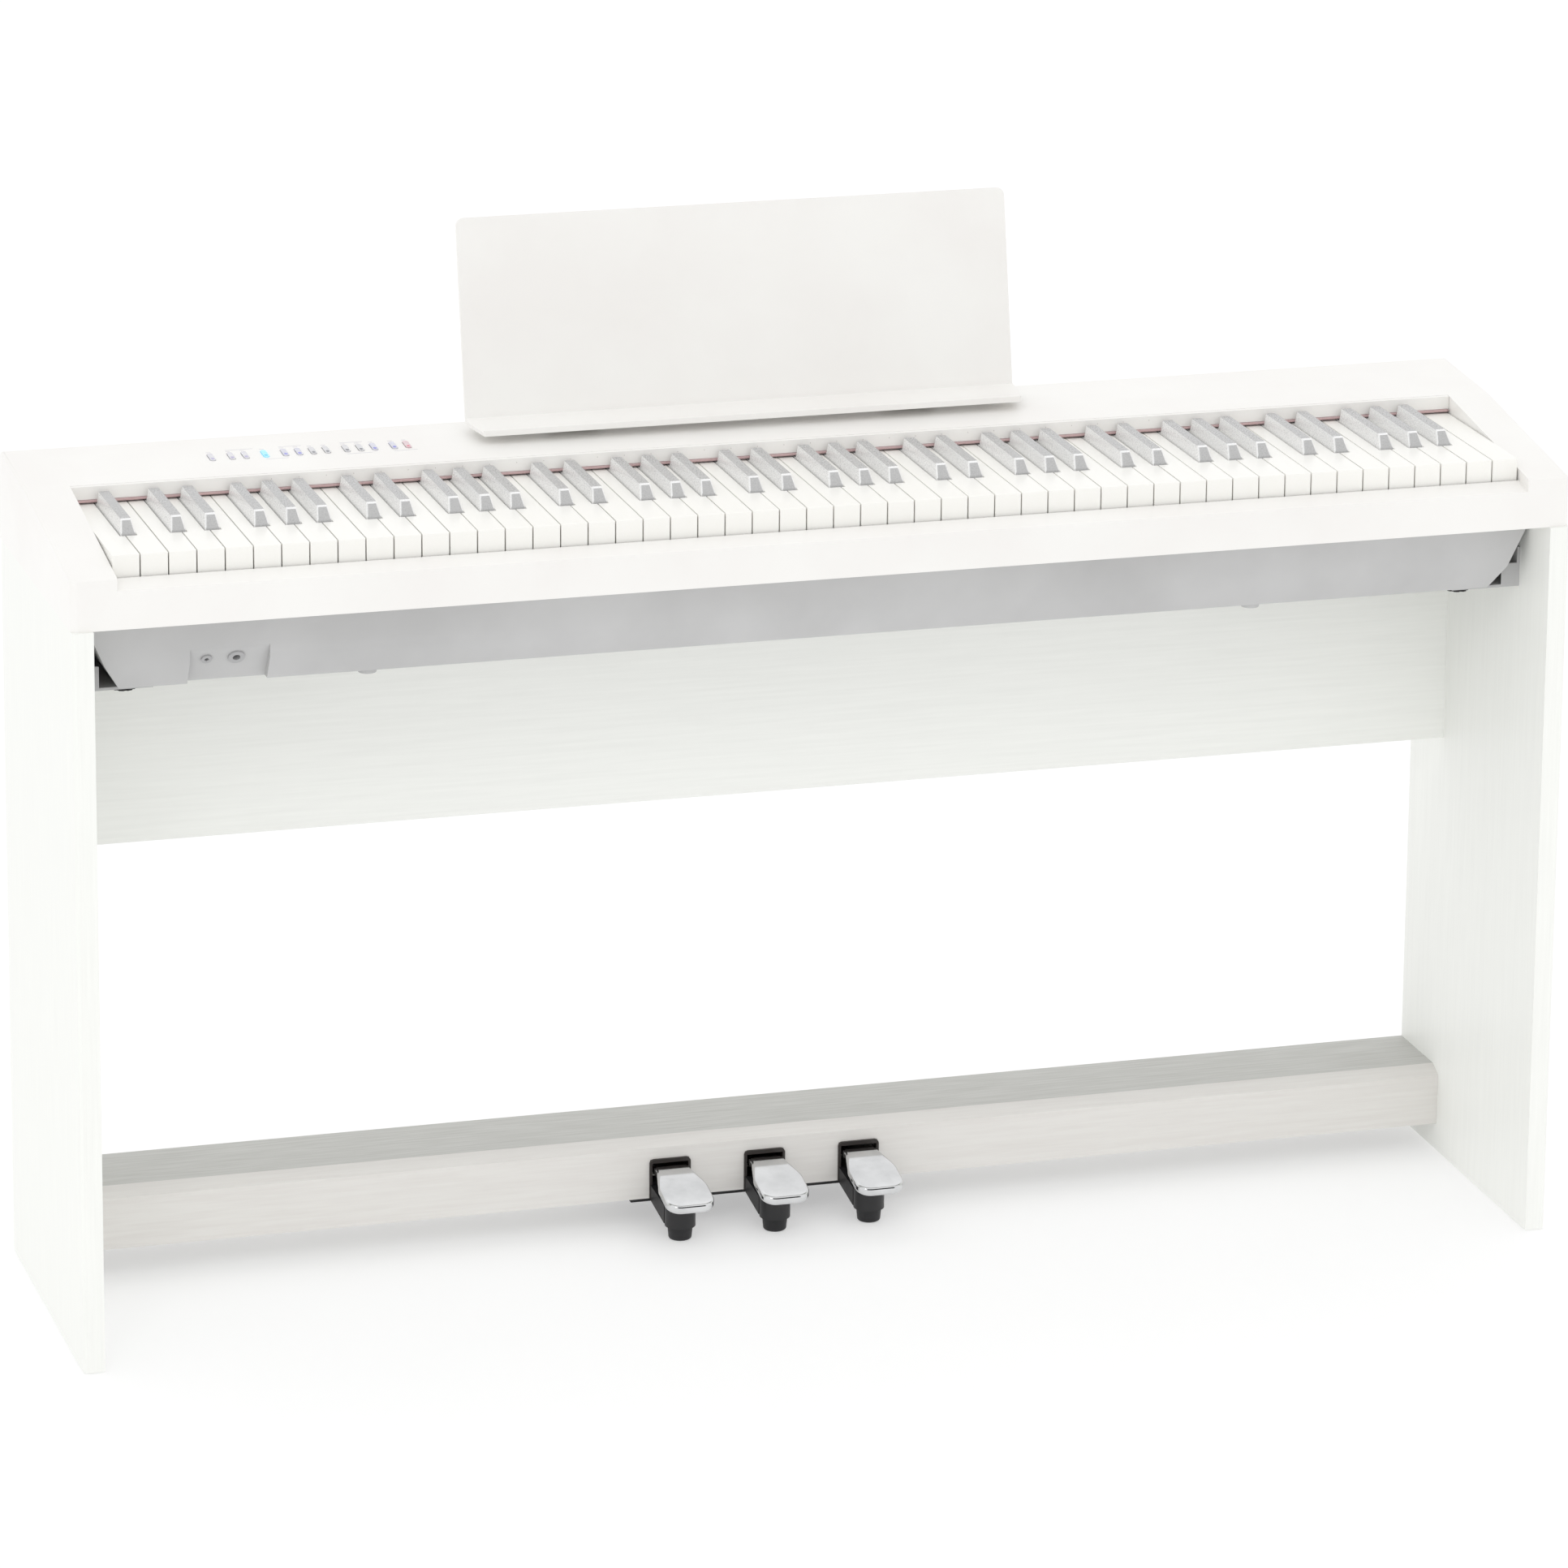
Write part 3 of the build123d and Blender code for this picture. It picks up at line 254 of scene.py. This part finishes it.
def beam_material():
    """The beam's foil, with its woodgrain: pale in front; where it faces up, a stronger grain in a darker
    grey that is painted shade from the piano above.
    """
    made = Surface("beam_foil", 0.45)
    streaks = made.noise(330.0, (0.05, 1.0, 1.0), 6.0)
    front = made.ramp(streaks, srgb(224, 221, 217), srgb(229, 227, 223), 0.3, 0.65)
    # painted shade: the upward faces take a darker grey as shade under the piano; the grain on them is the
    # foil's own
    top_painted_shade = made.ramp(streaks, srgb(184, 184, 179), srgb(200, 200, 196), 0.3, 0.65)
    made.colour(made.by_facing("Z", 0.92, 0.98, front, top_painted_shade))
    made.rough(streaks, 0.38, 0.55)
    made.bump(streaks, 0.3, 0.0004)
    return made


def chrome_material():
    made = Surface("pedal_chrome", 0.08, 1.0)
    made.colour(made.ramp(made.noise(40.0), srgb(208, 209, 210), srgb(222, 223, 224)))
    made.rough(made.noise(220.0, detail=5.0), 0.05, 0.16)
    return made


def black_plastic(name):
    return moulded(name, srgb(24, 24, 26), srgb(34, 33, 35), 0.42, 0.3)


def black_bezel():
    return moulded("bezel_black", srgb(34, 28, 25), srgb(46, 39, 35), 0.4, 0.2)


def rubber_material():
    made = moulded("foot_rubber", srgb(26, 26, 28), srgb(36, 36, 38), 0.75, 0.5)
    return made.set(Sheen_Weight=0.15)


def steel_material():
    """Zinc-plated steel with a brushed grain."""
    made = Surface("zinc_steel", 0.35, 1.0)
    brush = made.noise(700.0, (0.04, 1.0, 1.0), 4.0)
    made.colour(made.ramp(brush, srgb(186, 187, 184), srgb(208, 208, 204)))
    made.rough(brush, 0.28, 0.45)
    made.bump(brush, 0.12, 0.0002)
    return made


def powder_material(name, dark, light):
    """Powder-coated steel, with its fine orange-peel."""
    return moulded(name, dark, light, 0.6, 0.5)


def board_material():
    made = Surface("solder_mask", 0.3)
    weave = made.noise(900.0, (1.0, 1.0, 1.0), 2.0)
    made.colour(made.ramp(weave, srgb(28, 92, 56), srgb(40, 112, 70)))
    made.bump(weave, 0.15, 0.0002)
    return made


def lens_material(name, dark, light, glow=0.0):
    """Clear tinted button cap, brighter where its lamp is on."""
    made = Surface(name, 0.2)
    made.colour(made.ramp(made.noise(260.0), dark, light, 0.3, 0.7))
    made.bump(made.noise(1500.0), 0.05, 0.0001)
    if glow:
        made.set(Emission_Color=light, Emission_Strength=glow)
    return made.set(Transmission_Weight=0.2, IOR=1.49, Coat_Weight=0.5)


STEEL_NODES = ["key_frame", "key_pivot_rod", "case_screws", "cam_fasteners", "pedal_pins",
               "pedal_spring_left", "pedal_spring_middle", "pedal_spring_right"]
MOULDED_NODES = ["speakers", "rear_sockets", "hand_screws", "pedal_brackets"]


def paint_nodes():
    """Gives each CAD node its finished material."""
    case = case_material()
    chassis = chassis_material()
    key = white_key_material()
    sharp = sharp_material()
    chrome = chrome_material()
    moulding = black_plastic("black_moulding")
    bezel = black_bezel()
    rubber = rubber_material()
    steel = steel_material()
    board = board_material()
    powder = powder_material("black_powder_coat", srgb(22, 22, 23), srgb(32, 32, 33))
    grey_powder = powder_material("grey_powder_coat", srgb(180, 180, 180), srgb(190, 190, 190))
    jack = moulded("grey_jack", srgb(168, 168, 169), srgb(178, 178, 179), 0.35, 0.2)
    upright = panel_material("panel_foil_upright", "z")
    lengthwise = panel_material("panel_foil_lengthwise", "x")
    finish = {
        "upper_case": case, "fallboard_strip": case, "music_rest": case, "lower_case": chassis,
        "felt_strip": felt_material(), "left_panel": upright, "right_panel": upright,
        "back_board": lengthwise, "pedal_beam": beam_material(), "beam_base_plate": powder,
        "support_brackets": grey_powder, "phones_jack_large": jack, "phones_jack_small": jack,
        "contact_board": board, "main_board": board, "panel_board": board,
        "glides": moulded("glide_nylon", srgb(210, 210, 206), srgb(222, 222, 218), 0.5),
        "pedal_bezels": bezel, "pedal_feet": rubber, "rubber_feet": chassis,
    }
    finish.update({name: key for name in WHITES})
    finish.update({name: sharp for name in SHARPS})
    finish.update({name: chrome for name in PEDALS})
    finish.update({name: steel for name in STEEL_NODES})
    finish.update({name: moulding for name in MOULDED_NODES})
    finish.update(button_finishes())
    for name, node in NODES.items():
        node.data.materials.clear()
        node.data.materials.append(finish[name].material)


def button_finishes():
    """The buttons' lenses by place in the row: most are off, one is lit cyan and one is red."""
    off = lens_material("lens_off", srgb(236, 235, 244), srgb(246, 246, 250))
    grey = lens_material("lens_grey", srgb(230, 230, 234), srgb(242, 242, 245))
    blue = lens_material("lens_blue", srgb(226, 228, 246), srgb(240, 240, 250))
    cyan = lens_material("lens_cyan", srgb(120, 214, 244), srgb(176, 232, 248), 0.25)
    red = lens_material("lens_red", srgb(240, 206, 212), srgb(248, 226, 230))
    lenses = [off, off, off, cyan, blue, blue, grey, grey, grey, grey, blue, blue, red]
    return dict(zip(BUTTONS, lenses))


# ---------------------------------------------------------------- soft edges on CAD nodes
EDGE_ROUNDS = {
    "music_rest": 0.0009, "fallboard_strip": 0.0002, "back_board": 0.0006, "pedal_beam": 0.0005,
    "left_panel": 0.0006, "right_panel": 0.0006, "pedal_bezels": 0.0006, "lower_case": 0.0008,
    "upper_case": 0.0006, "support_brackets": 0.0003, "pedal_brackets": 0.0007,
}
KEY_ROUND = 0.0006
SHARP_ROUND = 0.0013
BUTTON_ROUND = 0.0005
BEVEL_ANGLE = math.radians(32)
BEVEL_SEGMENTS = 3
WELD_DISTANCE = 0.00001


def soften(node, width):
    """Rounds a node's sharp edges with modifiers; the CAD mesh itself stays as it is."""
    weld = node.modifiers.new("weld", "WELD")
    weld.merge_threshold = WELD_DISTANCE
    bevel = node.modifiers.new("edge_round", "BEVEL")
    bevel.width = width
    bevel.segments = BEVEL_SEGMENTS
    bevel.limit_method = "ANGLE"
    bevel.angle_limit = BEVEL_ANGLE
    normals = node.modifiers.new("normals", "WEIGHTED_NORMAL")
    normals.keep_sharp = False


def soften_nodes():
    for name, width in EDGE_ROUNDS.items():
        soften(NODES[name], width)
    for name in WHITES:
        soften(NODES[name], KEY_ROUND)
    for name in SHARPS:
        soften(NODES[name], SHARP_ROUND)
    for name in BUTTONS:
        soften(NODES[name], BUTTON_ROUND)


# ---------------------------------------------------------------- small modelled pieces
def new_piece(name, mesh_maker, surface, body):
    """Makes one object out of a bmesh, fixes it to a body, and says whose finish it takes."""
    work = bmesh.new()
    mesh_maker(work)
    mesh = bpy.data.meshes.new(name)
    work.to_mesh(mesh)
    work.free()
    mesh.materials.append(surface.material)
    piece = bpy.data.objects.new(name, mesh)
    bpy.context.scene.collection.objects.link(piece)
    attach(piece, body)
    return piece


def add_pill(work, place, length, width, height, steps=8):
    """A domed pill, long in its own Y, standing up its own Z from a placing matrix."""
    rings = []
    for inset, level in ((0.0, 0.0), (0.0, 0.6 * height), (0.22 * width, height)):
        half = width / 2 - inset
        reach = length / 2 - width / 2
        ring = []
        for end in (1, -1):
            for step in range(steps + 1):
                angle = math.pi * step / steps + (0 if end > 0 else math.pi)
                x, y = half * math.cos(angle), half * math.sin(angle) + end * reach
                ring.append(work.verts.new(place @ Vector((x, y, level))))
        rings.append(ring)
    count = len(rings[0])
    for low, high in zip(rings, rings[1:]):
        for i in range(count):
            j = (i + 1) % count
            work.faces.new((low[i], low[j], high[j], high[i]))
    work.faces.new(rings[-1])
    work.faces.new(list(reversed(rings[0])))


BUTTON_TALL = 0.008
BUTTON_PROUD = 0.0009           # a button stands this far out of the top
LAMP_FORWARD = 0.0052           # lamp window, in front of its button's middle
LAMP_LENGTH = 0.0046
LAMP_WIDTH = 0.0028
LAMP_HEIGHT = 0.00025
LAMP_SUNK = 0.0001
INK_PROUD = 0.00012             # print stands this far out, so that it shows
INK_DEEP = 0.00025              # and starts this far in
DASH_ROW = 0.0135               # a dash behind each button, from the button's middle
DASH_LENGTH = 0.0042
DASH_WIDTH = 0.0007
LINE_ROW_BACK = 0.0165          # longer lines behind some buttons
LINE_ROW_FRONT = -0.0135        # and in front of others
LINE_WIDTH = 0.0004
LINE_START = 0.002              # a line starts this far before its button's middle


def top_frame(node, across, along):
    """A frame on the case top over a button: its Z square to the top, moved across and along it."""
    press = next(j for j in frame["joints"] if j["child"] == node)["axis"]
    up = -Vector(press).normalized()
    low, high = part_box(node)
    middle = (low + high) / 2 + up * (BUTTON_TALL / 2 - BUTTON_PROUD)
    side = Vector((1.0, 0.0, 0.0))
    back = up.cross(side)
    turn = Matrix((side, back, up)).transposed().to_4x4()
    return Matrix.Translation(middle + side * across + back * along) @ turn


def add_lamps():
    """A small lamp window set in the front end of each button; it moves with the button."""
    violet = moulded("lamp_violet", srgb(176, 170, 204), srgb(192, 186, 216), 0.3)
    dark = moulded("lamp_dark", srgb(136, 136, 142), srgb(150, 150, 156), 0.3)
    blue = moulded("lamp_blue", srgb(140, 140, 214), srgb(158, 158, 226), 0.3)
    cyan = moulded("lamp_cyan", srgb(96, 206, 242), srgb(126, 216, 246), 0.3)
    red = moulded("lamp_red", srgb(226, 138, 154), srgb(236, 158, 172), 0.3)
    tints = [violet, violet, violet, cyan, blue, blue, dark, dark, dark, dark, blue, blue, red]
    for name, tint in zip(BUTTONS, tints):
        up = Matrix.Translation((0, 0, BUTTON_PROUD - LAMP_SUNK))
        place = top_frame(name, 0.0, -LAMP_FORWARD) @ up
        new_piece(f"lamp_{name}", lambda work: add_pill(work, place, LAMP_LENGTH, LAMP_WIDTH, LAMP_HEIGHT),
                  tint, name)


FELT_STEPS = 400                # cross sections along the band
FELT_WAVE = 0.03                # unevenness of its front edge, as a share of its depth
FELT_WAVES = 160                # waves a metre
FELT_CROWN = (                  # outline across the band: shares of its depth and height
    (0.0, 1.0), (0.35, 1.0), (0.75, 0.9), (0.97, 0.62),
    (0.97, 0.38), (0.75, 0.1), (0.35, 0.0), (0.0, 0.0),
)


def add_felt():
    """The red felt under the strip, as a soft crowned band with a slightly uneven front edge."""
    low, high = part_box("felt_strip")
    deep, tall = high.y - low.y, high.z - low.z

    def draw(work):
        rings = []
        for i in range(FELT_STEPS + 1):
            x = low.x + (high.x - low.x) * i / FELT_STEPS
            wave = 1 - FELT_WAVE + FELT_WAVE * noise.noise(Vector((x * FELT_WAVES, 0, 0)))
            ring = []
            for out, up in FELT_CROWN:
                ring.append(work.verts.new((x, high.y - deep * out * wave, low.z + tall * up)))
            rings.append(ring)
        for near, far in zip(rings, rings[1:]):
            for j in range(len(FELT_CROWN)):
                k = (j + 1) % len(FELT_CROWN)
                work.faces.new((near[j], near[k], far[k], far[j]))
        work.faces.new(list(reversed(rings[0])))
        work.faces.new(rings[-1])
        bmesh.ops.recalc_face_normals(work, faces=work.faces)
        for face in work.faces:
            face.smooth = len(face.verts) == 4

    felt = new_piece("felt_band", draw, felt_material(), STATIC)
    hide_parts("felt_strip")


def add_panel_print():
    """Plain printed dashes behind and in front of the buttons, where the real top has small legends."""
    ink = moulded("grey_print", srgb(196, 196, 206), srgb(208, 208, 216), 0.6)

    def dash(work, node, across, along, length, width):
        place = top_frame(node, across, along) @ Matrix.Translation((0, 0, -INK_DEEP))
        place = place @ Matrix.Rotation(math.pi / 2, 4, "Z")
        add_pill(work, place, length, width, INK_DEEP + INK_PROUD, 3)

    def draw(work):
        for name in BUTTONS:
            dash(work, name, 0.0, DASH_ROW, DASH_LENGTH, DASH_WIDTH)
        for name, reach in ((BUTTONS[1], 0.024), (BUTTONS[4], 0.020), (BUTTONS[8], 0.020)):
            dash(work, name, reach / 2 - LINE_START, LINE_ROW_BACK, reach, LINE_WIDTH)
        for name, reach in ((BUTTONS[3], 0.020), (BUTTONS[8], 0.022), (BUTTONS[11], 0.020)):
            dash(work, name, reach / 2 - LINE_START, LINE_ROW_FRONT, reach, LINE_WIDTH)

    new_piece("panel_print", draw, ink, STATIC)


DOT_START = 0.17                # first dot, from the strip's bass end
DOT_PITCH = 0.0235              # one white key
DOT_COUNT = 34
DOT_LENGTH = 0.0012
DOT_WIDTH = 0.0008
DOT_LEVEL = 0.65                # share of the strip's height


def add_strip_print():
    """Small printed dots along the strip behind the keys."""
    ink = moulded("strip_ink", srgb(206, 203, 200), srgb(214, 212, 208), 0.6)
    low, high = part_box("fallboard_strip")
    level = low.z + DOT_LEVEL * (high.z - low.z)
    first = low.x + DOT_START
    turn = Matrix.Rotation(math.pi / 2, 4, "X")

    def draw(work):
        for i in range(DOT_COUNT):
            place = Matrix.Translation((first + i * DOT_PITCH, low.y + INK_DEEP, level)) @ turn
            add_pill(work, place, DOT_LENGTH, DOT_WIDTH, INK_DEEP + INK_PROUD, 3)

    new_piece("strip_print", draw, ink, STATIC)


DISC_INSET = 0.034              # cam disc centres, from the board's ends
DISC_LEVELS = (0.415, 0.535)
CROSS_LENGTH = 0.008
CROSS_WIDTH = 0.0014
CROSS_PROUD = 0.0002


def add_disc_crosses():
    """A dark cross on each cam disc in the back of the board, as painted shade where the cross recess lies.
    """
    # painted shade: the crosses take a dark plastic to stand for the shade inside the recesses
    dark = black_plastic("recess_painted_shade")
    low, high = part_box("back_board")
    turn = Matrix.Rotation(-math.pi / 2, 4, "X")

    def draw(work):
        for x in (low.x + DISC_INSET, high.x - DISC_INSET):
            for level in DISC_LEVELS:
                for angle in (0.0, math.pi / 2):
                    place = Matrix.Translation((x, high.y, level)) @ turn @ Matrix.Rotation(angle, 4, "Z")
                    add_pill(work, place, CROSS_LENGTH, CROSS_WIDTH, CROSS_PROUD, 3)

    new_piece("disc_crosses", draw, dark, STATIC)


# ---------------------------------------------------------------- stage
FLOOR_HALF = 40.0
FLOOR_DROP = 0.0002             # the floor lies just below the glides
FLOOR_GLOW = 0.4
WORLD_STRENGTH = 0.99
TOP_LIGHT = ((0.0, 0.4, 4.2), 5.0, 9.0)         # place, size and power
KEY_LIGHT = ((-2.4, -3.6, 3.4), 0.9, 10.0)
CARD_X = (-0.5, 0.9)
CARD_Y = -1.25
CARD_Z = (0.3, 1.5)
AIM = Vector((0.0, 0.0, 0.55))  # the lights face this point


def make_stage():
    """A pale floor that glows a little, like a lit sweep, an even pale world and soft studio lights."""
    world = bpy.data.worlds.new("studio")
    bpy.context.scene.world = world
    world.use_nodes = True
    background = world.node_tree.nodes["Background"]
    background.inputs["Color"].default_value = (1.0, 1.0, 1.0, 1.0)
    background.inputs["Strength"].default_value = WORLD_STRENGTH
    floor_mesh = bpy.data.meshes.new("floor")
    square = ((-1, -1), (1, -1), (1, 1), (-1, 1))
    corners = [(x * FLOOR_HALF, y * FLOOR_HALF, -FLOOR_DROP) for x, y in square]
    floor_mesh.from_pydata(corners, [], [(0, 1, 2, 3)])
    surface = Surface("floor_white", 0.9)
    tone = surface.noise(2.0)
    surface.colour(surface.ramp(tone, (0.62, 0.62, 0.62, 1.0), (0.63, 0.63, 0.63, 1.0)))
    surface.set(Emission_Color=(1.0, 1.0, 1.0, 1.0), Emission_Strength=FLOOR_GLOW)
    floor_mesh.materials.append(surface.material)
    floor = bpy.data.objects.new("floor", floor_mesh)
    bpy.context.scene.collection.objects.link(floor)
    add_softbox("top_light", *TOP_LIGHT)
    add_softbox("key_light", *KEY_LIGHT)
    add_dark_card()


def add_dark_card():
    """A dark card in front of the piano, seen only in reflections, which gives the chrome contrast."""
    mesh = bpy.data.meshes.new("dark_card")
    left, right = CARD_X
    low, high = CARD_Z
    corners = [(left, CARD_Y, low), (right, CARD_Y, low), (right, CARD_Y, high), (left, CARD_Y, high)]
    mesh.from_pydata(corners, [], [(0, 1, 2, 3)])
    surface = moulded("card_black", srgb(16, 16, 16), srgb(24, 24, 24), 0.9)
    mesh.materials.append(surface.material)
    card = bpy.data.objects.new("dark_card", mesh)
    bpy.context.scene.collection.objects.link(card)
    card.visible_camera = False
    card.visible_diffuse = False
    card.visible_shadow = False
    card.visible_transmission = False


def add_softbox(name, place, size, power):
    """A square area light that faces the middle of the piano."""
    data = bpy.data.lights.new(name, "AREA")
    data.energy = power
    data.size = size
    light = bpy.data.objects.new(name, data)
    light.location = place
    aim = AIM - Vector(place)
    light.rotation_euler = aim.to_track_quat("-Z", "Y").to_euler()
    bpy.context.scene.collection.objects.link(light)


def make_object():
    paint_nodes()
    soften_nodes()
    add_lamps()
    add_felt()
    add_panel_print()
    add_strip_print()
    add_disc_crosses()


bpy.context.scene.view_settings.view_transform = "Standard"
make_camera()
make_stage()
make_object()
